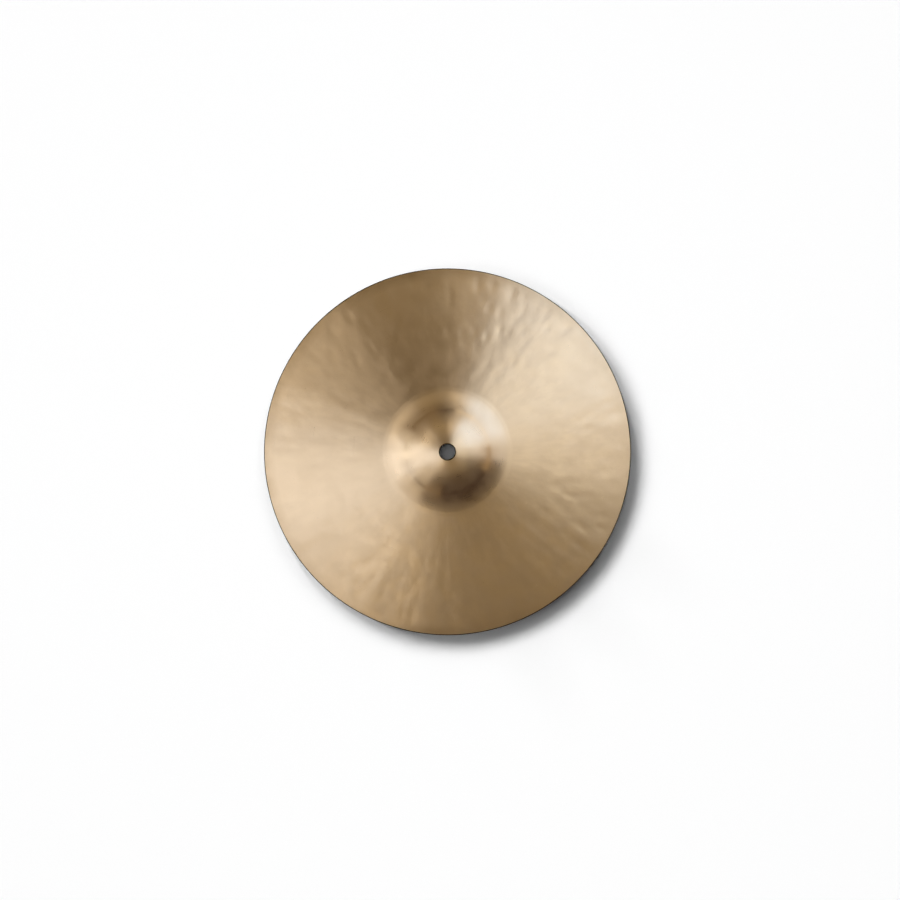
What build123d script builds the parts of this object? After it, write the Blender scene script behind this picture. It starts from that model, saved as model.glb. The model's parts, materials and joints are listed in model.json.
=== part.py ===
from build123d import *

import math
import os
from dataclasses import dataclass

# Crash cymbal, 12 inch: one piece of cast bronze, rolled, pressed, hammered and turned to a taper.
#
# Frame: origin on the axis, in the plane that the rim rests in; +Z up through the bell.
# Units: millimetres, degrees. Slopes are how steeply the upper face falls away from the axis.

DIAMETER = 304.8
RIM_RADIUS = DIAMETER / 2

# Centre hole, which takes a stand's 8 mm rod in its plastic sleeve.
HOLE_RADIUS = 6.25
HOLE_TOP_ROUND = 0.6
HOLE_BOTTOM_ROUND = 0.3

# Stations of the upper face, from the crown outwards: radius, slope, thickness of the metal.
# The crown is drilled away by the hole. The crease is the bell's steepest place.
CROWN = (3.0, 1.0, 1.4)
DOME_EDGE = (32.0, 28.0, 1.08)
CREASE = (34.6, 32.0, 1.05)
SKIRT_TOP = (37.3, 26.0, 1.02)
SKIRT_FOOT = (49.5, 12.5, 0.92)
BOW_TOP = (54.2, 4.6, 0.85)
RIM_SLOPE = 9.0
RIM_THICKNESS = 0.5


def sine(slope):
    return math.sin(math.radians(slope))


def cosine(slope):
    return math.cos(math.radians(slope))


@dataclass
class Station:
    """A place on the upper face: its radius, height, slope and the metal's thickness there."""

    radius: float
    height: float
    slope: float
    thickness: float

    def upper(self):
        return (self.radius, self.height)

    def lower(self):
        """The matching place on the lower face, square to the upper one."""
        return (
            self.radius - self.thickness * sine(self.slope),
            self.height - self.thickness * cosine(self.slope),
        )

    def along(self, radius, slope, thickness):
        """The station at the end of the circular arc that leaves this one and turns to that slope."""
        curvature_radius = (radius - self.radius) / (sine(slope) - sine(self.slope))
        drop = curvature_radius * (cosine(self.slope) - cosine(slope))
        return Station(radius, self.height - drop, slope, thickness)

    def halfway(self, end):
        """The station in the middle of the arc from this one to the end."""
        slope = (self.slope + end.slope) / 2
        share = (sine(slope) - sine(self.slope)) / (sine(end.slope) - sine(self.slope))
        radius = self.radius + share * (end.radius - self.radius)
        return self.along(radius, slope, (self.thickness + end.thickness) / 2)


def face_stations():
    """The stations of the upper face, from the crown to the rim, with the rim's foot at height 0."""
    crown_radius, crown_slope, crown_thickness = CROWN
    face_end = RIM_RADIUS - RIM_THICKNESS / 2 * (1 - sine(RIM_SLOPE))
    rim = (face_end, RIM_SLOPE, RIM_THICKNESS)
    stations = [Station(crown_radius, 0.0, crown_slope, crown_thickness)]
    for place in (DOME_EDGE, CREASE, SKIRT_TOP, SKIRT_FOOT, BOW_TOP, rim):
        stations.append(stations[-1].along(*place))
    rim_foot = rim_centre(stations[-1])[1] - RIM_THICKNESS / 2
    for station in stations:
        station.height -= rim_foot
    return stations


def rim_centre(rim):
    """The centre of the half-round that closes the rim."""
    (upper_radius, upper_height), (lower_radius, lower_height) = rim.upper(), rim.lower()
    return ((upper_radius + lower_radius) / 2, (upper_height + lower_height) / 2)


def rim_outermost(rim):
    """The point of the rim's half-round that lies furthest out along the bow's slope."""
    centre_radius, centre_height = rim_centre(rim)
    half = RIM_THICKNESS / 2
    return (centre_radius + half * cosine(rim.slope), centre_height - half * sine(rim.slope))


def face_arcs(stations, side):
    """One arc from each station to the next, along the "upper" or the "lower" face."""
    arcs = []
    for start, end in zip(stations, stations[1:]):
        places = [getattr(station, side)() for station in (start, start.halfway(end), end)]
        arcs.append(ThreePointArc(*places))
    return arcs


def section(stations):
    """Half of the cymbal's cross-section, as a closed face with X as the radius and Y as the height."""
    crown, rim = stations[0], stations[-1]
    edges = face_arcs(stations, "upper") + face_arcs(stations, "lower")
    edges.append(ThreePointArc(rim.upper(), rim_outermost(rim), rim.lower()))
    edges.append(Line(crown.upper(), crown.lower()))
    return make_face(edges)


def wall_corners(half):
    """The section's two corners nearest the axis, the lower one first."""
    return sorted(half.vertices().sort_by(Axis.X)[:2], key=lambda corner: corner.Y)


def drilled(half):
    """The section cut back to the hole's true wall, with the wall's top and bottom edges rounded."""
    half = half - Rectangle(2 * HOLE_RADIUS, DIAMETER)
    half = fillet(wall_corners(half)[1], HOLE_TOP_ROUND)
    return fillet(wall_corners(half)[0], HOLE_BOTTOM_ROUND)


def cymbal():
    """The solid disc, turned about the axis."""
    return revolve(Plane.XZ * drilled(section(face_stations())), Axis.Z)


def main():
    os.makedirs("parts", exist_ok=True)
    made = cymbal()
    made.label = "cymbal"
    export_step(made, "parts/cymbal.step")
    size = made.bounding_box()
    wall = made.faces().filter_by(GeomType.CYLINDER)[0].bounding_box()
    print("valid", made.is_valid, "volume", round(made.volume, 1), "size", size.size)
    print("hole wall from", round(wall.min.Z, 3), "to", round(wall.max.Z, 3))
    for station in face_stations():
        print(station)


main()
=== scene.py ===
"""A 12 inch crash cymbal of hammered, lathe-turned bronze, lying bell up in a small studio.

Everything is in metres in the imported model's frame: the origin is on the axis, in the plane that the
rim rests in, and +Z points up through the bell. Slopes and azimuths are in degrees. An azimuth is
counted from +X towards +Y.
"""

import json
import logging
import math
import random
from collections.abc import Sequence
from dataclasses import dataclass
from enum import Enum

import bmesh
import bpy
import numpy as np
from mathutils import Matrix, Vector


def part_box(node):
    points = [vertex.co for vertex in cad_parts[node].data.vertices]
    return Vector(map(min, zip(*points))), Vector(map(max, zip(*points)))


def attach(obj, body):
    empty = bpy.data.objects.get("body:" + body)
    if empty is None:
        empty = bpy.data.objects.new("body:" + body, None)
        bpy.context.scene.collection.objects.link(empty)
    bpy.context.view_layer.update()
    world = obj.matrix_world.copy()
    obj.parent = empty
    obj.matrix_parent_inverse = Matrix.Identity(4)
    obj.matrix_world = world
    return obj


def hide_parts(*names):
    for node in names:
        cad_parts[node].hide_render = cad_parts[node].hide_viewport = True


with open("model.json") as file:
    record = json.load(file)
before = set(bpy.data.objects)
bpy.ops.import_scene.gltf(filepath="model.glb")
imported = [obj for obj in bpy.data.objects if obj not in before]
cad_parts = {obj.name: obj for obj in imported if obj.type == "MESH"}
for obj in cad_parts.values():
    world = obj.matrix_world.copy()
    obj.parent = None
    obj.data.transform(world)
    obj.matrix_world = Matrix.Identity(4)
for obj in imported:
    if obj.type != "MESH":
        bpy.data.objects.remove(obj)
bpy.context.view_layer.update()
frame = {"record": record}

log = logging.getLogger("cymbal")

CYMBAL = "cymbal"
ROOT_BODY = "root"
BAKE_MAP = "OFBake"
MILLIMETRE = 0.001

# Slack when two radii or two slopes are compared.
HAIR = 1e-9

# Turn of the stretched highlights, in whole turns from the direction round the axis.
ACROSS_GROOVES = 0.25

Pair = tuple[float, float]
Triple = tuple[float, float, float]
Tint = tuple[float, float, float, float]


def towards(azimuth: float, elevation: float) -> Vector:
    """Unit vector at an azimuth and an elevation, in degrees."""
    turn, lift = math.radians(azimuth), math.radians(elevation)
    return Vector((math.cos(turn) * math.cos(lift), math.sin(turn) * math.cos(lift), math.sin(lift)))


def put(name: str, data: bpy.types.ID, place: Sequence[float] = (0.0, 0.0, 0.0)) -> bpy.types.Object:
    """A new object at a place in the scene."""
    made = bpy.data.objects.new(name, data)
    made.location = place
    bpy.context.scene.collection.objects.link(made)
    return made


def hang_lamp(lamp: bpy.types.Light, azimuth: float, elevation: float, distance: float) -> bpy.types.Object:
    """Hangs a lamp so that it shines on the cymbal.

    Args:
        lamp: the lamp's settings.
        azimuth, elevation: where it hangs, seen from the cymbal.
        distance: from the cymbal.

    Returns:
        The lamp's object.
    """
    direction = towards(azimuth, elevation)
    stand = put(lamp.name, lamp, direction * distance)
    stand.rotation_mode = "QUATERNION"
    stand.rotation_quaternion = (-direction).to_track_quat("-Z", "Y")
    return stand


# ---- profile

@dataclass(frozen=True)
class Station:
    """A place on the upper face.

    Args:
        radius: distance from the axis.
        height: height above the rim's plane.
        slope: how steeply the face falls away from the axis.
        thickness: of the metal, square to the face.
    """

    radius: float
    height: float
    slope: float
    thickness: float

    def along(self, radius: float, slope: float, thickness: float) -> "Station":
        """The station at the end of the circular arc that leaves this one and turns to a new slope.

        Args:
            radius: where the arc ends.
            slope: at the arc's end.
            thickness: at the arc's end.

        Returns:
            The new station.
        """
        start, end = math.radians(self.slope), math.radians(slope)
        if abs(end - start) < HAIR:
            drop = (radius - self.radius) * math.tan(start)
        else:
            bend = (radius - self.radius) / (math.sin(end) - math.sin(start))
            drop = bend * (math.cos(start) - math.cos(end))
        return Station(radius, self.height - drop, slope, thickness)

    def lowered(self, drop: float) -> "Station":
        """The same station, lower down."""
        return Station(self.radius, self.height - drop, self.slope, self.thickness)

    def normal(self) -> Pair:
        """Outward unit normal of the upper face, as (radial, vertical)."""
        slope = math.radians(self.slope)
        return math.sin(slope), math.cos(slope)

    def below(self, depth: float) -> Pair:
        """The radius and height of the place at a depth, square to the upper face."""
        radial, vertical = self.normal()
        return self.radius - depth * radial, self.height - depth * vertical


@dataclass
class Profile:
    """The cymbal's half cross-section, as one closed loop of rings round the metal.

    Args:
        rim_radius: outermost radius.
        hole_radius: radius of the centre hole.
        crown, dome_edge, crease, skirt_top, skirt_foot, bow_top: radius, slope and thickness where
            the upper face changes its curve. The crown is drilled away by the hole.
        rim_slope, rim_thickness: the bow's last slope and thickness.
        hole_top_round, hole_bottom_round: rounding of the hole's two edges.
    """

    rim_radius: float
    hole_radius: float
    crown: Triple = (0.0030, 1.0, 0.00140)
    dome_edge: Triple = (0.0320, 28.0, 0.00108)
    crease: Triple = (0.0346, 32.0, 0.00105)
    skirt_top: Triple = (0.0373, 26.0, 0.00102)
    skirt_foot: Triple = (0.0495, 12.5, 0.00092)
    bow_top: Triple = (0.0542, 4.6, 0.00085)
    rim_slope: float = 9.0
    rim_thickness: float = 0.0005
    hole_top_round: float = 0.0006
    hole_bottom_round: float = 0.0003

    def __post_init__(self) -> None:
        """Chains the arcs and sets the rim's foot at height 0."""
        face_end = self.rim_radius - self.rim_thickness / 2 * (1 - math.sin(math.radians(self.rim_slope)))
        crown_radius, crown_slope, crown_thickness = self.crown
        chain = [Station(crown_radius, 0.0, crown_slope, crown_thickness)]
        rim = (face_end, self.rim_slope, self.rim_thickness)
        for place in (self.dome_edge, self.crease, self.skirt_top, self.skirt_foot, self.bow_top, rim):
            chain.append(chain[-1].along(*place))
        half = self.rim_thickness / 2
        _, rim_centre_height = chain[-1].below(half)
        self.stations = [station.lowered(rim_centre_height - half) for station in chain]

    def station_at(self, radius: float) -> Station:
        """The upper face's station at a radius.

        Args:
            radius: distance from the axis.

        Returns:
            The station, on the arc that covers that radius.
        """
        spans = list(zip(self.stations, self.stations[1:]))
        start, end = next((span for span in spans if radius <= span[1].radius), spans[-1])
        share = (radius - start.radius) / (end.radius - start.radius)
        first, last = (math.sin(math.radians(station.slope)) for station in (start, end))
        slope = math.degrees(math.asin(first + share * (last - first)))
        thickness = start.thickness + share * (end.thickness - start.thickness)
        return start.along(radius, slope, thickness)


@dataclass(frozen=True)
class Ring:
    """One ring of points round the axis.

    Args:
        radius, height: where it lies.
        push: direction, (radial, vertical), in which hammering moves it.
        reach: radius at which the hammering is looked up.
        give: share of the hammering that it takes, 0 on the cut edges.
        region: material slot of the faces between this ring and the next.
    """

    radius: float
    height: float
    push: Pair
    reach: float
    give: float
    region: int


class Region(Enum):
    """Finishes of the one sheet of metal, in the order of the mesh's material slots."""

    BOW = 0
    BELL = 1
    UNDERSIDE = 2
    # The cut edges and their margins carry near-black metal: painted shade where the hole's wall and the
    # rim's edge fall dark.
    SHADED_EDGE = 3


# ---- hammering

@dataclass
class Hammering:
    """The unevenness that hammers leave in the sheet, the same on both faces.

    Args:
        seed: of the random draws.
        inner_radius, outer_radius: innermost and outermost ring of blows.
        ring_gap: distance between rings of blows.
        blow_gap: distance between blows along a ring.
        blow_radius: smallest and largest half-width of a blow's dent.
        blow_depth: shallowest and deepest dent.
        stray_round, stray_out: how far a blow strays along its ring and off it, as shares of the gaps.
        stretch: how many times longer a dent is outwards than across.
        furrow_count: long shallow furrows that run outwards.
        furrow_length, furrow_width, furrow_depth: smallest and largest size of a furrow.
        furrow_margins: what the furrows' middles keep clear of inside and outside the blows' rings.
        wave_counts: how many times each long wave runs round the disc.
        wave_height: height of the long waves at the rim.
        wave_rise: power with which the waves grow outwards.
        wave_twist, wave_pivot: most that a wave's phase turns for each metre outwards, in radians, and
            the radius that it turns from.
        bell_reach, bell_fade: where the hammering starts inside the innermost ring, and the width over
            which it comes up.
        fade_width: width of the rim's margin, where the hammering dies out.
        heavy_azimuth: middle of the side that was worked harder, in degrees.
        light_share: force of the blows on the opposite side, as a share of that side's.
        inner_share: force of the blows beside the bell, as a share of those at the rim.
    """

    seed: int = 12
    inner_radius: float = 0.064
    outer_radius: float = 0.146
    ring_gap: float = 0.0095
    blow_gap: float = 0.0115
    blow_radius: Pair = (0.0034, 0.0062)
    blow_depth: Pair = (0.00002, 0.00020)
    stray_round: float = 0.3
    stray_out: float = 0.35
    stretch: float = 1.7
    furrow_count: int = 84
    furrow_length: Pair = (0.008, 0.022)
    furrow_width: Pair = (0.0020, 0.0040)
    furrow_depth: Pair = (-0.00006, 0.00008)
    furrow_margins: Pair = (0.016, 0.006)
    wave_counts: tuple[int, ...] = (3, 5, 8, 13, 21, 34)
    wave_height: float = 0.00013
    wave_rise: float = 1.5
    wave_twist: float = 25.0
    wave_pivot: float = 0.1
    bell_reach: float = 0.012
    bell_fade: float = 0.014
    fade_width: float = 0.007
    heavy_azimuth: float = 50.0
    light_share: float = 0.45
    inner_share: float = 0.3

    def __post_init__(self) -> None:
        """Draws every blow and wave once, in a fixed order."""
        dice = random.Random(self.seed)
        self.blows = []
        radius = self.inner_radius
        while radius <= self.outer_radius:
            count = round(math.tau * radius / self.blow_gap)
            start = dice.random()
            for index in range(count):
                turn = (index + start + dice.uniform(-self.stray_round, self.stray_round)) / count * math.tau
                place = radius + dice.uniform(-self.stray_out, self.stray_out) * self.ring_gap
                size = dice.uniform(*self.blow_radius)
                depth = dice.uniform(*self.blow_depth) * self.force(place, turn)
                self.blows.append((place, turn, size * self.stretch, size, depth))
            radius += self.ring_gap
        inside, outside = self.furrow_margins
        for _ in range(self.furrow_count):
            place = dice.uniform(self.inner_radius + inside, self.outer_radius - outside)
            turn = dice.uniform(0, math.tau)
            length = dice.uniform(*self.furrow_length)
            width = dice.uniform(*self.furrow_width)
            depth = dice.uniform(*self.furrow_depth) * self.force(place, turn)
            self.blows.append((place, turn, length, width, depth))
        self.waves = []
        for count in self.wave_counts:
            phase = dice.uniform(0, math.tau)
            self.waves.append((count, phase, dice.uniform(-self.wave_twist, self.wave_twist)))

    def force(self, radius: float, turn: float) -> float:
        """How hard a blow lands: gently beside the bell and on the lightly worked side.

        Args:
            radius: of the blow.
            turn: its azimuth, in radians.

        Returns:
            The force, from 0 to 1.
        """
        outwards = (radius - self.inner_radius) / (self.outer_radius - self.inner_radius)
        facing = 0.5 + 0.5 * math.cos(turn - math.radians(self.heavy_azimuth))
        side = self.light_share + (1.0 - self.light_share) * facing
        return side * (self.inner_share + (1.0 - self.inner_share) * min(max(outwards, 0.0), 1.0))

    def field(self, radii: np.ndarray, turns: np.ndarray) -> np.ndarray:
        """Height of the unevenness over a polar grid.

        Args:
            radii: of the grid's rings.
            turns: of its sectors, in radians.

        Returns:
            Heights, one row for each ring.
        """
        radius, turn = np.meshgrid(radii, turns, indexing="ij")
        height = np.zeros_like(radius)
        for place, azimuth, length, width, depth in self.blows:
            out = (radii - place) / length
            across = (np.mod(turns - azimuth + math.pi, math.tau) - math.pi) * place / width
            height -= depth * np.outer(np.exp(-2.0 * out ** 2), np.exp(-2.0 * across ** 2))
        outermost = radii.max()
        for count, phase, twist in self.waves:
            swell = (radius / outermost) ** self.wave_rise / math.sqrt(count)
            angle = count * turn + phase + twist * (radius - self.wave_pivot)
            height += self.wave_height * swell * np.sin(angle)
        return height * self.fade(radii, outermost)[:, None]

    def fade(self, radii: np.ndarray, outermost: float) -> np.ndarray:
        """Share of the hammering at each radius: none on the bell or at the very rim."""
        inside = np.clip((radii - self.inner_radius + self.bell_reach) / self.bell_fade, 0.0, 1.0)
        outside = np.clip((outermost - radii) / self.fade_width, 0.0, 1.0)
        share = inside * outside
        return share * share * (3.0 - 2.0 * share)


# ---- sheet of metal

@dataclass
class CymbalSheet:
    """The cymbal's one sheet of metal: bell, bow, rim and the hole's cut edge.

    Args:
        profile: its half cross-section.
        hammering: its unevenness.
        sectors: divisions round the axis.
        bell_step, bow_step, under_step: most between rings on the bell, the bow and the underside.
        round_steps: rings on each rounded edge.
        rings_cut: radius, width and depth of each turned ring: at the bell's crease and on the bow.
        foot_edge: radius, width and height of the low ridge that sharpens the edge of the bell's foot.
        hole_shade_margin, rim_shade_margin: width of the margins round the hole and along the rim that take
            the cut edge's near-black painted shade.
    """

    profile: Profile
    hammering: Hammering
    sectors: int = 432
    bell_step: float = 0.0007
    bow_step: float = 0.0012
    under_step: float = 0.0026
    round_steps: int = 5
    rings_cut: tuple[Triple, ...] = (
        (0.0356, 0.0010, 0.000040),
        (0.0748, 0.0022, 0.000018),
    )
    foot_edge: Triple = (0.0517, 0.0024, 0.000060)
    hole_shade_margin: float = 0.00085
    rim_shade_margin: float = 0.0004

    def face_radii(self, start: float, bell_step: float, bow_step: float) -> list[float]:
        """Radii of a face's rings, with one ring on every station.

        Args:
            start: the innermost radius.
            bell_step, bow_step: most between rings on the bell and on the bow.

        Returns:
            Radii from the hole to the rim.
        """
        stops = [start] + [station.radius for station in self.profile.stations[1:]]
        stops.insert(1, self.profile.hole_radius + self.hole_shade_margin)
        stops.insert(-1, stops[-1] - self.rim_shade_margin)
        bell_end = self.profile.bow_top[0]
        radii = [start]
        for first, last in zip(stops, stops[1:]):
            step = bell_step if last <= bell_end else bow_step
            count = max(1, math.ceil((last - first) / step))
            radii += [first + (last - first) * (index + 1) / count for index in range(count)]
        return radii

    def top_ring(self, radius: float) -> Ring:
        """A ring of the upper face."""
        profile = self.profile
        station = profile.station_at(radius)
        region = Region.BELL if radius < profile.bow_top[0] - HAIR else Region.BOW
        # The margins next to the hole and the rim take the cut edge's near-black painted shade.
        if radius < profile.hole_radius + self.hole_shade_margin - HAIR:
            region = Region.SHADED_EDGE
        if radius > profile.stations[-1].radius - self.rim_shade_margin - HAIR:
            region = Region.SHADED_EDGE
        return Ring(radius, station.height, station.normal(), radius, 1.0, region.value)

    def under_ring(self, radius: float) -> Ring:
        """A ring of the lower face, square to the upper face's ring at that radius."""
        station = self.profile.station_at(radius)
        return Ring(*station.below(station.thickness), station.normal(), radius, 1.0, Region.UNDERSIDE.value)

    def rounded(self, centre: Pair, size: float, start: float, end: float) -> list[Ring]:
        """Rings along a rounded edge.

        Args:
            centre: of the arc, as (radius, height).
            size: its radius.
            start, end: its first and last direction, in degrees above the outward horizontal.

        Returns:
            The rings, from start to end.
        """
        rings = []
        for index in range(self.round_steps + 1):
            turn = math.radians(start + (end - start) * index / self.round_steps)
            radius = centre[0] + size * math.cos(turn)
            height = centre[1] + size * math.sin(turn)
            # Rounded edges take the near-black painted shade of the cut edges.
            rings.append(Ring(radius, height, (0.0, 1.0), radius, 0.0, Region.SHADED_EDGE.value))
        return rings

    def tangent_radius(self, size: float, under: bool) -> float:
        """Radius on the upper face from which a rounding of the hole's edge starts.

        Args:
            size: the rounding's radius.
            under: True for the hole's lower edge.

        Returns:
            The radius of the upper face's ring to which the rounding's end is square.
        """
        radius = self.profile.hole_radius + size
        for _ in range(8):
            station = self.profile.station_at(radius)
            depth = station.thickness - size if under else size
            radius = self.profile.hole_radius + size + depth * station.normal()[0]
        return radius

    def rings(self) -> list[Ring]:
        """The closed loop of rings: up the hole's wall, out over the top, round the rim and back below."""
        profile = self.profile
        size = profile.hole_top_round
        edge = profile.station_at(self.tangent_radius(size, False))
        loop = self.rounded(edge.below(size), size, 180.0, 90.0 - edge.slope)[:-1]
        top = self.face_radii(edge.radius, self.bell_step, self.bow_step)
        loop += [self.top_ring(radius) for radius in top]

        rim = profile.stations[-1]
        half = rim.thickness / 2
        loop += self.rounded(rim.below(half), half, 90.0 - rim.slope, -90.0 - rim.slope)[:-1]

        size = profile.hole_bottom_round
        edge = profile.station_at(self.tangent_radius(size, True))
        under = self.face_radii(edge.radius, self.under_step, self.under_step)
        loop += [self.under_ring(radius) for radius in reversed(under)]
        loop += self.rounded(edge.below(edge.thickness - size), size, 270.0 - edge.slope, 180.0)[1:]
        return loop

    def unevenness(self, rings: list[Ring], turns: np.ndarray) -> np.ndarray:
        """How far each point moves along its ring's push, in metres."""
        reach = np.array([ring.reach for ring in rings])
        give = np.array([ring.give for ring in rings])
        field = self.hammering.field(reach, turns)
        cut = np.zeros_like(reach)
        for radius, width, depth in self.rings_cut:
            cut += depth * np.exp(-((reach - radius) / width) ** 2)
        radius, width, height = self.foot_edge
        ridge = height * np.clip(1.0 - np.abs(reach - radius) / width, 0.0, 1.0) ** 2
        return (field + (ridge - cut)[:, None]) * give[:, None]

    def points(self, rings: list[Ring]) -> np.ndarray:
        """Coordinates of every point, ring by ring."""
        turns = np.arange(self.sectors) * math.tau / self.sectors
        moved = self.unevenness(rings, turns)
        push = np.array([ring.push for ring in rings])
        radius = np.array([ring.radius for ring in rings])[:, None] + moved * push[:, 0:1]
        height = np.array([ring.height for ring in rings])[:, None] + moved * push[:, 1:2]
        return np.stack([radius * np.cos(turns), radius * np.sin(turns), height], axis=-1)

    def build(self) -> bpy.types.Object:
        """Makes the closed mesh, its bake map and its region numbers.

        Returns:
            The new object, with no material slots yet.
        """
        rings = self.rings()
        points = self.points(rings).reshape(-1, 3)
        ring_count = len(rings)
        ring = np.repeat(np.arange(ring_count), self.sectors)
        sector = np.tile(np.arange(self.sectors), ring_count)
        next_ring = (ring + 1) % ring_count
        next_sector = (sector + 1) % self.sectors
        corners = np.stack([
            ring * self.sectors + sector,
            next_ring * self.sectors + sector,
            next_ring * self.sectors + next_sector,
            ring * self.sectors + next_sector,
        ], axis=1)

        mesh = bpy.data.meshes.new("bronze_cymbal")
        mesh.from_pydata(points.tolist(), [], corners.tolist())
        mesh.polygons.foreach_set("material_index", np.array([r.region for r in rings])[ring])
        mesh.shade_smooth()

        after = rings[1:] + rings[:1]
        lengths = [math.hypot(a.radius - b.radius, a.height - b.height) for a, b in zip(rings, after)]
        along = np.concatenate([[0.0], np.cumsum(lengths)]) / sum(lengths)
        left, right = sector / self.sectors, (sector + 1) / self.sectors
        low, high = along[ring], along[ring + 1]
        places = np.stack([left, low, left, high, right, high, right, low], axis=1)
        layer = mesh.uv_layers.new(name=BAKE_MAP)
        layer.uv.foreach_set("vector", places.astype(np.float32).ravel())

        mesh.validate()
        return put("bronze_cymbal", mesh)

    def dress(self, piece: bpy.types.Object, finishes: dict[Region, bpy.types.Material]) -> None:
        """Puts each region's finish on the sheet, in the order of its slots."""
        for region in Region:
            piece.data.materials.append(finishes[region])


# ---- node helpers

@dataclass
class Wiring:
    """Adds and links nodes in one tree.

    Args:
        tree: the node tree to work in.
    """

    tree: bpy.types.NodeTree

    def add(self, kind: str, **settings: object) -> bpy.types.Node:
        """A new node with its properties set."""
        node = self.tree.nodes.new(kind)
        for name, value in settings.items():
            setattr(node, name, value)
        return node

    def feed(self, target: bpy.types.NodeSocket, source: object) -> None:
        """Links a socket into the target, or sets the target's value."""
        if isinstance(source, bpy.types.NodeSocket):
            self.tree.links.new(source, target)
        else:
            target.default_value = source

    def math(self, operation: str, *terms: object, clamp: bool = False) -> bpy.types.NodeSocket:
        """The result of a Math node over sockets or plain numbers."""
        node = self.add("ShaderNodeMath", operation=operation, use_clamp=clamp)
        for target, term in zip(node.inputs, terms):
            self.feed(target, term)
        return node.outputs[0]

    def swing(self, value: object, scale: object) -> bpy.types.NodeSocket:
        """How far a value from 0 to 1 lies from its middle, scaled."""
        return self.math("MULTIPLY", self.math("SUBTRACT", value, 0.5), scale)

    def feed_all(self, node: bpy.types.Node, sources: dict[str, object]) -> bpy.types.Node:
        """Feeds a node's inputs by name, and gives the node back."""
        for name, source in sources.items():
            self.feed(node.inputs[name], source)
        return node

    def ramp(
        self, value: object, low: float, high: float, out_low: float = 0.0, out_high: float = 1.0
    ) -> bpy.types.NodeSocket:
        """A value eased from one range to another and held at its ends."""
        node = self.add("ShaderNodeMapRange", interpolation_type="SMOOTHSTEP")
        for target, term in zip(node.inputs, (value, low, high, out_low, out_high)):
            self.feed(target, term)
        return node.outputs[0]

    def blend(self, share: object, first: object, second: object) -> bpy.types.NodeSocket:
        """A colour between two others."""
        node = self.add("ShaderNodeMix", data_type="RGBA")
        self.feed(node.inputs["Factor"], share)
        colours = [socket for socket in node.inputs if socket.type == "RGBA"]
        self.feed(colours[0], first)
        self.feed(colours[1], second)
        return next(socket for socket in node.outputs if socket.type == "RGBA")

    def noise(
        self, place: object, scale: object, detail: float, roughness: float = 0.5, line: bool = False
    ) -> bpy.types.NodeSocket:
        """A soft noise.

        Args:
            place: where it is looked up: a vector, or a number for a noise along a line.
            scale, detail, roughness: of the noise.
            line: True for a noise along a line.

        Returns:
            The noise, from 0 to 1.
        """
        node = self.add("ShaderNodeTexNoise", noise_dimensions="1D" if line else "3D")
        sources = {"W" if line else "Vector": place, "Scale": scale, "Detail": detail, "Roughness": roughness}
        return self.feed_all(node, sources).outputs["Fac"]

    def combine(self, *parts: object) -> bpy.types.NodeSocket:
        """A vector from three numbers."""
        node = self.add("ShaderNodeCombineXYZ")
        for target, part in zip(node.inputs, parts):
            self.feed(target, part)
        return node.outputs[0]

    def split(self, vector: object) -> bpy.types.NodeOutputs:
        """The three numbers of a vector."""
        node = self.add("ShaderNodeSeparateXYZ")
        self.feed(node.inputs[0], vector)
        return node.outputs

    def end(self, kind: str, surface: bpy.types.NodeSocket) -> None:
        """Ends the tree with an output node of that kind."""
        self.feed(self.add(kind).inputs["Surface"], surface)


def fresh_wiring(owner: bpy.types.Material | bpy.types.World) -> Wiring:
    """Wiring in an owner's own tree, emptied first."""
    owner.use_nodes = True
    owner.node_tree.nodes.clear()
    return Wiring(owner.node_tree)


class SharedGroup:
    """A shader node group with named sockets, built once and placed in several materials.

    Each kind names its inputs in takes, as name: (socket type, default value), and its outputs in gives,
    as name: socket type.
    """

    name: str
    takes: dict[str, tuple[str, object]]
    gives: dict[str, str]

    def __init__(self) -> None:
        """Makes the tree and its sockets, then fills it."""
        self.tree = bpy.data.node_groups.new(self.name, "ShaderNodeTree")
        for name, (kind, value) in self.takes.items():
            socket = self.tree.interface.new_socket(name=name, in_out="INPUT", socket_type=kind)
            if value is not None:
                socket.default_value = value
        for name, kind in self.gives.items():
            self.tree.interface.new_socket(name=name, in_out="OUTPUT", socket_type=kind)
        self.wiring = Wiring(self.tree)
        self.inlet = self.wiring.add("NodeGroupInput").outputs
        self.outlet = self.wiring.add("NodeGroupOutput").inputs
        self.fill()

    def fill(self) -> None:
        """Wires the group's nodes. Each kind of group has its own."""
        raise NotImplementedError

    def place(self, wiring: Wiring, **values: object) -> bpy.types.NodeOutputs:
        """Adds the group to a material.

        Args:
            wiring: of the material's tree.
            values: sockets or numbers for the group's inputs, with _ for each space in a name.

        Returns:
            The group node's outputs.
        """
        node = wiring.add("ShaderNodeGroup", node_tree=self.tree)
        for name, value in values.items():
            wiring.feed(node.inputs[name.replace("_", " ")], value)
        return node.outputs


FLOAT = "NodeSocketFloat"
VECTOR = "NodeSocketVector"


class AxisCoordinates(SharedGroup):
    """Distance from the axis, and a vector that runs round it without a seam."""

    name = "Round the axis"
    takes = {}
    gives = {"Radius": FLOAT, "Spin": VECTOR, "Place": VECTOR}

    def fill(self) -> None:
        """Radius in metres, Spin as (cosine, sine, radius in tenths of a metre) and Place in metres."""
        wire = self.wiring
        place = wire.add("ShaderNodeTexCoord").outputs["Object"]
        east, north, _ = wire.split(place)
        squares = wire.math("ADD", wire.math("MULTIPLY", east, east), wire.math("MULTIPLY", north, north))
        radius = wire.math("SQRT", squares)
        safe = wire.math("MAXIMUM", radius, MILLIMETRE)
        cosine, sine = wire.math("DIVIDE", east, safe), wire.math("DIVIDE", north, safe)
        spin = wire.combine(cosine, sine, wire.math("MULTIPLY", radius, 10.0))
        wire.feed(self.outlet["Radius"], radius)
        wire.feed(self.outlet["Spin"], spin)
        wire.feed(self.outlet["Place"], place)


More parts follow.
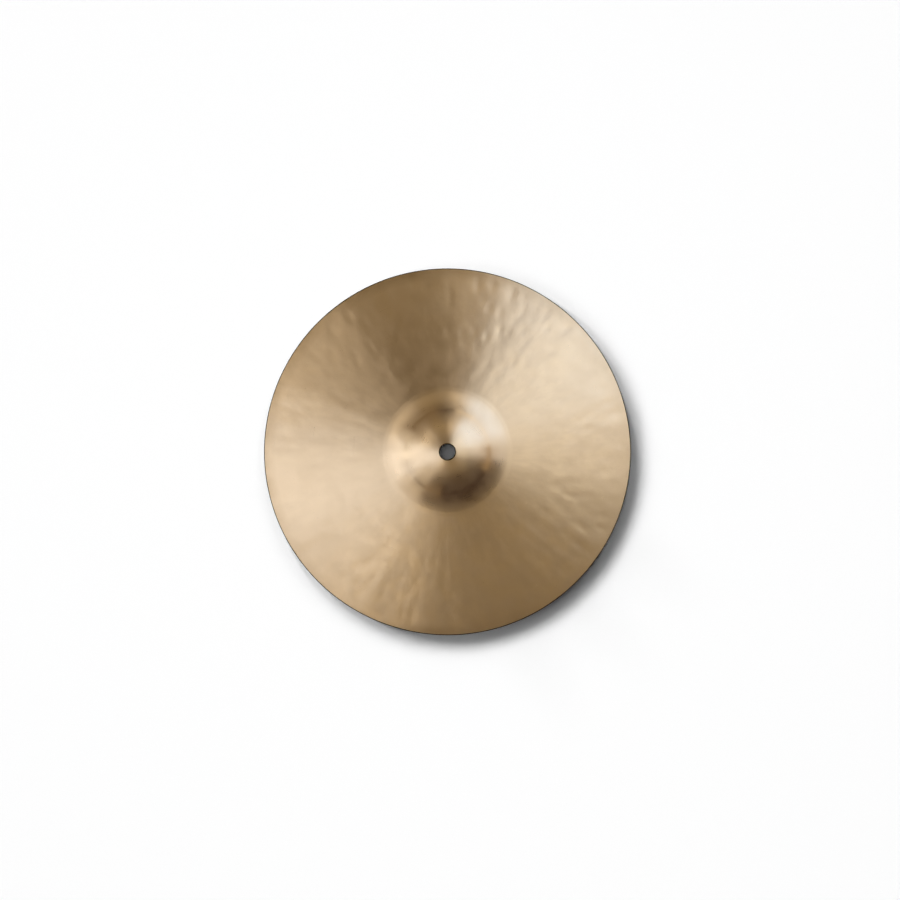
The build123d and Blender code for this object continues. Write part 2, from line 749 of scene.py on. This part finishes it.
class TurnedGrooves(SharedGroup):
    """The fine concentric grooves that a lathe tool leaves."""

    name = "Turned grooves"
    takes = {
        "Radius": (FLOAT, 0.1),
        "Spin": (VECTOR, None),
        "Pitch": (FLOAT, 0.0009),
        "Wander": (FLOAT, 0.0002),
        "Uneven": (FLOAT, 0.6),
    }
    gives = {"Height": FLOAT, "Glint": FLOAT}
    drift_scale = 2.2
    depth_scale = 0.31
    hair_scale = 3.7
    least_depth = 0.4

    def fill(self) -> None:
        """Rounded grooves of uneven depth, with hair-fine lines on them."""
        wire = self.wiring
        drift = wire.swing(wire.noise(self.inlet["Spin"], self.drift_scale, 2.0), self.inlet["Wander"])
        radius = wire.math("ADD", self.inlet["Radius"], drift)
        count = wire.math("DIVIDE", radius, self.inlet["Pitch"])
        wave = wire.math("COSINE", wire.math("MULTIPLY", count, math.tau))
        own = wire.noise(count, self.depth_scale, 1.0, line=True)
        depth = wire.math("ADD", wire.math("MULTIPLY", own, self.inlet["Uneven"]), self.least_depth)
        hair = wire.noise(count, self.hair_scale, 3.0, 0.7, line=True)
        wire.feed(self.outlet["Height"], wire.math("ADD", wire.math("MULTIPLY", wave, depth), hair))
        wire.feed(self.outlet["Glint"], hair)


class HammerBloom(SharedGroup):
    """Soft patches, wider than a hammer's face, where the metal took the tool differently."""

    name = "Hammer bloom"
    takes = {"Place": (VECTOR, None), "Spin": (VECTOR, None), "Size": (FLOAT, 0.012)}
    gives = {"Patch": FLOAT, "Streak": FLOAT}
    patch_span = (0.32, 0.68)
    streak_stretch = (1.0, 1.0, 0.5)
    streak_scale = 13.0
    streak_span = (0.34, 0.66)
    clear_scale = 14.0
    clear_span = (0.38, 0.62)
    clear_least = 0.25

    def fill(self) -> None:
        """Cloudy patches over the face, and streaks that run outwards from the bell."""
        wire = self.wiring
        patch = wire.noise(self.inlet["Place"], wire.math("DIVIDE", 1.0, self.inlet["Size"]), 2.0)
        stretched = wire.add("ShaderNodeVectorMath", operation="MULTIPLY")
        wire.feed(stretched.inputs[0], self.inlet["Spin"])
        stretched.inputs[1].default_value = self.streak_stretch
        streak = wire.noise(stretched.outputs[0], self.streak_scale, 3.0, 0.55)
        cover = wire.noise(self.inlet["Place"], self.clear_scale, 1.0)
        clear = wire.ramp(cover, *self.clear_span, self.clear_least)
        shown = wire.swing(wire.ramp(streak, *self.streak_span), clear)
        wire.feed(self.outlet["Patch"], wire.ramp(patch, *self.patch_span))
        wire.feed(self.outlet["Streak"], wire.math("ADD", shown, 0.5))


class Patina(SharedGroup):
    """Browning that gathers near the rim, strongest towards one azimuth and weakest opposite it."""

    name = "Patina"
    takes = {
        "Radius": (FLOAT, 0.1),
        "Place": (VECTOR, None),
        "Spin": (VECTOR, None),
        "Rim": (FLOAT, 0.1524),
        "Rim width": (FLOAT, 0.010),
        "Rim amount": (FLOAT, 0.5),
        "Cloud amount": (FLOAT, 0.2),
    }
    gives = {"Mask": FLOAT}
    darker_azimuth = 140.0
    side_range = (0.35, 1.5)
    cloud_scale = 38.0
    uneven_span = (0.3, 0.7)
    uneven_least = 0.55
    faint_span = (0.42, 0.75)

    def fill(self) -> None:
        """Rim browning plus faint clouds, from 0 for bare metal to 1."""
        wire = self.wiring
        start = wire.math("SUBTRACT", self.inlet["Rim"], self.inlet["Rim width"])
        inside = wire.math("SUBTRACT", self.inlet["Radius"], start)
        share = wire.math("DIVIDE", inside, self.inlet["Rim width"], clamp=True)
        clouds = wire.noise(self.inlet["Place"], self.cloud_scale, 4.0, 0.6)
        uneven = wire.ramp(clouds, *self.uneven_span, self.uneven_least)
        # The rim browning is scaled by which way the place faces: strongest towards azimuth 140 degrees and
        # weakest opposite.
        facing = wire.add("ShaderNodeVectorMath", operation="DOT_PRODUCT")
        wire.feed(facing.inputs[0], self.inlet["Spin"])
        facing.inputs[1].default_value = towards(self.darker_azimuth, 0.0)
        side = wire.ramp(facing.outputs["Value"], -1.0, 1.0, *self.side_range)
        rim = wire.math("MULTIPLY", wire.math("MULTIPLY", share, uneven), self.inlet["Rim amount"])
        rim = wire.math("MULTIPLY", rim, side)
        faint = wire.math("MULTIPLY", wire.ramp(clouds, *self.faint_span), self.inlet["Cloud amount"])
        wire.feed(self.outlet["Mask"], wire.math("ADD", rim, faint, clamp=True))


# ---- finishes

@dataclass
class SharedEffects:
    """The node groups that every finish draws on."""

    def __post_init__(self) -> None:
        """Builds each group once."""
        self.axis = AxisCoordinates()
        self.grooves = TurnedGrooves()
        self.bloom = HammerBloom()
        self.patina = Patina()


@dataclass(frozen=True)
class BronzeFinish:
    """One way of finishing the bronze.

    Args:
        name: of the material.
        metal, warm, brown: colours of the clean metal, of its duller streaks and of its patina.
        streaks: how much the duller streaks show.
        roughness, roughness_spread: mean roughness, and how much patches and lines change it.
        anisotropic: how much the grooves stretch highlights outwards.
        pitch: distance between grooves.
        groove_bump, bloom_bump: heights of the grooves and of the patches, in metres.
        rim_patina, cloud_patina: amounts of browning at the rim and all over.
        lacquer, lacquer_roughness: weight and roughness of the clear lacquer.
    """

    name: str
    metal: Tint = (0.893, 0.725, 0.555, 1.0)
    warm: Tint = (0.833, 0.670, 0.510, 1.0)
    brown: Tint = (0.52, 0.38, 0.24, 1.0)
    roughness: float = 0.31
    roughness_spread: float = 0.05
    anisotropic: float = 0.83
    pitch: float = 0.0009
    groove_bump: float = 0.000002
    bloom_bump: float = 0.00003
    rim_patina: float = 0.45
    cloud_patina: float = 0.08
    lacquer: float = 0.10
    lacquer_roughness: float = 0.22
    streaks: float = 1.0

    def material(self, effects: SharedEffects, rim_radius: float) -> bpy.types.Material:
        """Builds the material.

        Args:
            effects: the shared node groups.
            rim_radius: of the cymbal.

        Returns:
            The material.
        """
        made = bpy.data.materials.new(self.name)
        wire = fresh_wiring(made)
        axis = effects.axis.place(wire)
        radius, spin, place = axis["Radius"], axis["Spin"], axis["Place"]
        grooves = effects.grooves.place(wire, Radius=radius, Spin=spin, Pitch=self.pitch)
        bloom = effects.bloom.place(wire, Place=place, Spin=spin)
        patina = effects.patina.place(wire, Radius=radius, Place=place, Spin=spin, Rim=rim_radius,
                                      Rim_amount=self.rim_patina, Cloud_amount=self.cloud_patina)

        streak = wire.swing(bloom["Streak"], self.streaks)
        colour = wire.blend(wire.math("ADD", streak, 0.5), self.metal, self.warm)
        colour = wire.blend(patina["Mask"], colour, self.brown)

        spread = wire.swing(bloom["Patch"], self.roughness_spread)
        lines = wire.swing(grooves["Glint"], self.roughness_spread)
        roughness = wire.math("ADD", wire.math("ADD", spread, lines), self.roughness)

        ridges = wire.math("MULTIPLY", grooves["Height"], self.groove_bump)
        patches = wire.math("MULTIPLY", bloom["Patch"], self.bloom_bump)
        height = wire.math("ADD", ridges, patches)
        bump = wire.feed_all(wire.add("ShaderNodeBump"), {"Distance": 1.0, "Height": height})

        tangent = wire.add("ShaderNodeTangent", direction_type="RADIAL", axis="Z")
        shader = wire.feed_all(wire.add("ShaderNodeBsdfPrincipled"), {
            "Base Color": colour,
            "Metallic": 1.0,
            "Roughness": roughness,
            "Anisotropic": self.anisotropic,
            "Anisotropic Rotation": ACROSS_GROOVES,
            "Coat Weight": self.lacquer,
            "Coat Roughness": self.lacquer_roughness,
            "Normal": bump.outputs["Normal"],
            "Tangent": tangent.outputs["Tangent"],
        })
        wire.end("ShaderNodeOutputMaterial", shader.outputs["BSDF"])
        return made


BOW_FINISH = BronzeFinish("bronze_bow")
BELL_FINISH = BronzeFinish(
    "bronze_bell",
    roughness=0.305,
    anisotropic=0.825,
    groove_bump=0.000001,
    bloom_bump=0.0,
    streaks=0.3,
    rim_patina=0.0,
    cloud_patina=0.05,
)
UNDERSIDE_FINISH = BronzeFinish(
    "bronze_underside",
    metal=(0.84, 0.67, 0.47, 1.0),
    warm=(0.72, 0.56, 0.38, 1.0),
    roughness=0.36,
    pitch=0.0013,
    groove_bump=0.000008,
    rim_patina=0.5,
    cloud_patina=0.25,
)
# Near-black metal for the cut edges: painted shade where the hole's wall and the rim's edge fall dark.
SHADED_EDGE_METAL = BronzeFinish(
    "bronze_edge_painted_shade",
    metal=(0.014, 0.010, 0.008, 1.0),
    warm=(0.011, 0.008, 0.006, 1.0),
    brown=(0.008, 0.006, 0.004, 1.0),
    roughness=0.42,
    anisotropic=0.3,
    bloom_bump=0.0,
    rim_patina=0.6,
    cloud_patina=0.4,
    lacquer=0.0,
)


# ---- studio

class Reach(Enum):
    """What a lamp lights: the metal's reflections, or the floor."""

    METAL = "metal"
    FLOOR = "floor"


@dataclass(frozen=True)
class Softbox:
    """A rectangular softbox aimed at the cymbal.

    Args:
        name: of the lamp.
        azimuth, elevation: where it stands, seen from the cymbal.
        width, height: the angles that it fills, seen from the cymbal.
        radiance: its brightness.
        colour: its tint.
        reach: what it lights.
        distance: from the cymbal.
    """

    name: str
    azimuth: float
    elevation: float
    width: float
    height: float
    radiance: float
    colour: Triple = (1.0, 1.0, 1.0)
    reach: Reach = Reach.METAL
    distance: float = 3.0

    def build(self) -> None:
        """Makes the lamp."""
        lamp = bpy.data.lights.new(self.name, "AREA")
        lamp.shape = "RECTANGLE"
        lamp.size = 2 * self.distance * math.tan(math.radians(self.width) / 2)
        lamp.size_y = 2 * self.distance * math.tan(math.radians(self.height) / 2)
        lamp.energy = self.radiance * math.pi * lamp.size * lamp.size_y
        lamp.color = self.colour
        stand = hang_lamp(lamp, self.azimuth, self.elevation, self.distance)
        stand.visible_camera = False
        stand.visible_diffuse = self.reach is Reach.FLOOR
        stand.visible_glossy = self.reach is Reach.METAL


@dataclass(frozen=True)
class SunRow:
    """A row of soft suns, low over the floor, that the metal doesn't mirror.

    Args:
        name: of the row.
        elevation: of the suns.
        disc: their angular diameter.
        spread: how far the row reaches to either side of its middle.
        count: suns in the row.
        radiance: brightness that the whole row gives to a white floor.
        azimuth: of the row's middle.
        distance: at which the suns are drawn, which doesn't change their light.
    """

    name: str
    elevation: float
    disc: float
    spread: float
    count: int
    radiance: float
    azimuth: float = 132.0
    distance: float = 3.0

    def build(self) -> None:
        """Makes the suns, each with its share of the row's light."""
        strength = self.radiance * math.pi / math.sin(math.radians(self.elevation)) / self.count
        for index in range(self.count):
            azimuth = self.azimuth + self.spread * (2 * index / (self.count - 1) - 1)
            lamp = bpy.data.lights.new(f"{self.name}_{index}", "SUN")
            lamp.energy = strength
            lamp.angle = math.radians(self.disc)
            hang_lamp(lamp, azimuth, self.elevation, self.distance).visible_glossy = False


FLOOR_ROWS = (
    SunRow("sun_low", 8.0, 3.5, 18.0, 3, 0.11),
    SunRow("sun_key", 11.5, 4.5, 18.0, 3, 0.32),
    SunRow("sun_high", 16.5, 6.0, 18.0, 3, 0.16),
    SunRow("flank_low", 11.0, 6.0, 66.0, 7, 0.20),
    SunRow("flank_high", 17.0, 8.0, 72.0, 7, 0.21),
)

PEARL = (1.0, 0.99, 0.93)
IVORY = (1.0, 0.95, 0.77)
CREAM = (1.0, 0.87, 0.62)
GOLD = (1.0, 0.78, 0.40)
AMBER = (1.0, 0.70, 0.32)
SKYLIGHT = (0.72, 0.85, 1.0)

METAL_BOXES = (
    Softbox("east_strip", -8.0, 24.0, 34.0, 8.0, 1.20, AMBER),
    Softbox("east_low", 32.0, 18.0, 42.0, 34.0, 1.10, PEARL),
    Softbox("east_middle", 4.0, 48.0, 18.0, 16.0, 1.30, PEARL),
    Softbox("east_key", 42.0, 52.0, 34.0, 26.0, 1.60, SKYLIGHT),
    Softbox("east_high", 18.0, 75.0, 26.0, 9.0, 2.20, IVORY),
    Softbox("north_east_low", 66.0, 14.0, 26.0, 26.0, 1.20, CREAM),
    Softbox("north_east_edge", 76.0, 53.0, 14.0, 10.0, 1.60, CREAM),
    Softbox("north_middle", 102.0, 57.0, 24.0, 16.0, 0.56, GOLD),
    Softbox("north_low", 135.0, 22.0, 60.0, 40.0, 0.15, AMBER),
    Softbox("north_west_edge", 147.0, 59.0, 22.0, 12.0, 1.65, CREAM),
    Softbox("west_strip", 171.0, 24.0, 36.0, 10.0, 1.60, IVORY),
    Softbox("west_low", 198.0, 18.0, 38.0, 32.0, 0.84, PEARL),
    Softbox("west_key", 187.0, 49.0, 30.0, 22.0, 1.50, PEARL),
    Softbox("west_middle", 224.0, 43.0, 20.0, 24.0, 0.80, CREAM),
    Softbox("west_high", 206.0, 74.0, 20.0, 14.0, 1.65, PEARL),
    Softbox("south_west_strip", 248.0, 26.0, 22.0, 6.0, 0.85, AMBER),
    Softbox("south_edge", 245.0, 72.0, 8.0, 12.0, 0.45, GOLD),
    Softbox("south_high", 282.0, 74.5, 32.0, 12.0, 0.64, GOLD),
)


@dataclass
class Studio:
    """The floor, the lamps, the surroundings and the camera.

    Args:
        floor_size: side of the floor.
        paper: whiteness of the floor and the mat.
        tooth, tooth_scale: how much lighter and darker the paper's tooth is, and how fine.
        floor_drop: how far the floor lies under the rim.
        mat_radius, mat_round, mat_sides: radius, edge rounding and sides of the thin mat under the cymbal.
        fill_radiance: brightness that the lamp beside the camera gives to a white floor.
        fill_side, fill_azimuth, fill_elevation: side of that lamp, and where it hangs.
        pin_power, pin_radius, pin_height, pin_aim: power, pool radius, height and the pool's middle of a
            narrow lamp that reaches the mat through the centre hole.
        pin_blend, pin_source: softness of its pool's edge, and its own radius.
        backdrop: colour behind the floor.
        room, floor_glow: what the metal mirrors between the lamps, and from below.
        horizon: heights, as sines, between which the glow gives way to the room.
        frame_width: width of the floor that the camera takes in.
        aim: place on the floor at the middle of the view.
        lens, sensor: focal length and sensor width, in millimetres.
        sight: how far the camera sees.
    """

    floor_size: float = 60.0
    paper: float = 0.92
    tooth: float = 0.02
    tooth_scale: float = 900.0
    floor_drop: float = 0.0030
    mat_radius: float = 0.138
    mat_round: float = 0.0010
    mat_sides: int = 192
    fill_radiance: float = 0.082
    fill_side: float = 0.5
    fill_azimuth: float = 135.0
    fill_elevation: float = 84.0
    pin_power: float = 10.0
    pin_radius: float = 0.0072
    pin_height: float = 3.0
    pin_aim: Pair = (0.0012, -0.0012)
    pin_blend: float = 0.6
    pin_source: float = 0.01
    backdrop: Tint = (0.92, 0.92, 0.92, 1.0)
    room: Tint = (0.024, 0.008, 0.003, 1.0)
    floor_glow: Tint = (0.30, 0.23, 0.15, 1.0)
    horizon: Pair = (-0.10, 0.04)
    frame_width: float = 0.748
    aim: Pair = (0.0021, 0.0015)
    lens: float = 85.0
    sensor: float = 36.0
    sight: float = 100.0

    def paper_material(self) -> bpy.types.Material:
        """A matt, pale paper with a faint tooth."""
        made = bpy.data.materials.new("studio_floor")
        wire = fresh_wiring(made)
        place = wire.add("ShaderNodeTexCoord").outputs["Object"]
        greys = [(level, level, level, 1.0) for level in (self.paper - self.tooth, self.paper + self.tooth)]
        shader = wire.feed_all(wire.add("ShaderNodeBsdfPrincipled"), {
            "Base Color": wire.blend(wire.noise(place, self.tooth_scale, 2.0), *greys),
            "Roughness": 1.0,
            "Specular IOR Level": 0.0,
        })
        wire.end("ShaderNodeOutputMaterial", shader.outputs["BSDF"])
        return made

    def lay(self, mesh: bpy.types.Mesh, paper: bpy.types.Material, height: float = 0.0) -> None:
        """Lays a paper mesh at a height, where the metal doesn't mirror it."""
        mesh.materials.append(paper)
        laid = put(mesh.name, mesh, (0.0, 0.0, height))
        laid.visible_glossy = False

    def build_floor(self, paper: bpy.types.Material) -> None:
        """Lays the floor under the rim."""
        half = self.floor_size / 2
        corners = [(-half, -half, 0.0), (half, -half, 0.0), (half, half, 0.0), (-half, half, 0.0)]
        mesh = bpy.data.meshes.new("studio_floor")
        mesh.from_pydata(corners, [], [(0, 1, 2, 3)])
        self.lay(mesh, paper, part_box(CYMBAL)[0].z - self.floor_drop)

    def build_mat(self, profile: Profile, paper: bpy.types.Material) -> None:
        """Lays a thin round mat on the floor, up to the underside of the bow.

        Args:
            profile: of the cymbal that lies on it.
            paper: that it is made of.
        """
        station = profile.station_at(self.mat_radius)
        top = station.height - station.thickness
        shape = bmesh.new()
        bmesh.ops.create_cone(shape, cap_ends=True, segments=self.mat_sides, radius1=self.mat_radius,
                              radius2=self.mat_radius, depth=top + self.floor_drop)
        bmesh.ops.translate(shape, verts=shape.verts, vec=(0.0, 0.0, (top - self.floor_drop) / 2))
        top_edges = [edge for edge in shape.edges if min(corner.co.z for corner in edge.verts) > 0]
        bmesh.ops.bevel(shape, geom=top_edges, offset=self.mat_round, segments=4, affect="EDGES")
        mesh = bpy.data.meshes.new("studio_mat")
        shape.to_mesh(mesh)
        shape.free()
        self.lay(mesh, paper)

    def build_surroundings(self) -> None:
        """A pale backdrop for the camera, and a dim room over a warm floor for the metal to mirror."""
        world = bpy.data.worlds.new("studio_room")
        bpy.context.scene.world = world
        wire = fresh_wiring(world)
        height = wire.split(wire.add("ShaderNodeTexCoord").outputs["Generated"])[2]
        room = wire.blend(wire.ramp(height, *self.horizon, 1.0, 0.0), self.room, self.floor_glow)
        path = wire.add("ShaderNodeLightPath").outputs
        direct = wire.math("LESS_THAN", path["Diffuse Depth"], 0.5)
        mirrored = wire.math("MULTIPLY", path["Is Glossy Ray"], direct)
        background = wire.feed_all(wire.add("ShaderNodeBackground"), {
            "Color": wire.blend(path["Is Camera Ray"], room, self.backdrop),
            "Strength": wire.math("MAXIMUM", path["Is Camera Ray"], mirrored),
        })
        wire.end("ShaderNodeOutputWorld", background.outputs["Background"])

    def build_lamps(self) -> None:
        """Sets up the metal's softboxes, the floor's low suns and the fill beside the camera."""
        for lamp in (*METAL_BOXES, *FLOOR_ROWS):
            lamp.build()
        far = self.camera_height()
        radiance = self.fill_radiance * math.pi * far ** 2 / self.fill_side ** 2 / self.paper
        angle = 2 * math.degrees(math.atan(self.fill_side / 2 / far))
        place = (self.fill_azimuth, self.fill_elevation)
        Softbox("fill", *place, angle, angle, radiance, reach=Reach.FLOOR, distance=far).build()
        self.build_pin()

    def build_pin(self) -> None:
        """Hangs the narrow lamp above the centre hole."""
        lamp = bpy.data.lights.new("pin", "SPOT")
        lamp.energy = self.pin_power
        lamp.spot_size = 2 * math.atan(self.pin_radius / self.pin_height)
        lamp.spot_blend = self.pin_blend
        lamp.shadow_soft_size = self.pin_source
        put("pin", lamp, (*self.pin_aim, self.pin_height)).visible_glossy = False

    def camera_height(self) -> float:
        """Height of the lens above the rim's plane."""
        return self.frame_width * self.lens / self.sensor

    def build_camera(self) -> None:
        """Hangs the camera straight above the cymbal."""
        data = bpy.data.cameras.new("camera")
        data.lens = self.lens
        data.sensor_width = self.sensor
        data.clip_end = self.sight
        bpy.context.scene.camera = put("camera", data, (*self.aim, self.camera_height()))

    def build(self, profile: Profile) -> None:
        """Builds the whole studio.

        Args:
            profile: of the cymbal that it is set up for.
        """
        paper = self.paper_material()
        self.build_floor(paper)
        self.build_mat(profile, paper)
        self.build_surroundings()
        self.build_lamps()
        self.build_camera()
        bpy.context.scene.view_settings.view_transform = "Standard"


# ---- putting it together

def hole_radius() -> float:
    """Radius of the centre hole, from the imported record's mount."""
    mounts = frame["record"]["mounts"]
    return next(mount for mount in mounts if mount["name"] == "centre_hole")["dims"]["r_mm"] * MILLIMETRE


def main() -> None:
    """Builds the studio and the cymbal, and reports each."""
    logging.basicConfig(level=logging.INFO, format="%(name)s: %(message)s")
    low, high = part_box(CYMBAL)
    profile = Profile(rim_radius=(high.x - low.x) / 2, hole_radius=hole_radius())
    Studio().build(profile)
    log.info("studio ready")

    sheet = CymbalSheet(profile, Hammering())
    piece = sheet.build()
    effects = SharedEffects()
    finishes = {
        Region.BOW: BOW_FINISH,
        Region.BELL: BELL_FINISH,
        Region.UNDERSIDE: UNDERSIDE_FINISH,
        Region.SHADED_EDGE: SHADED_EDGE_METAL,
    }
    materials = {region: finish.material(effects, profile.rim_radius) for region, finish in finishes.items()}
    sheet.dress(piece, materials)
    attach(piece, ROOT_BODY)
    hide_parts(CYMBAL)
    log.info("%s: %d faces", piece.name, len(piece.data.polygons))


if __name__ == "__main__":
    main()
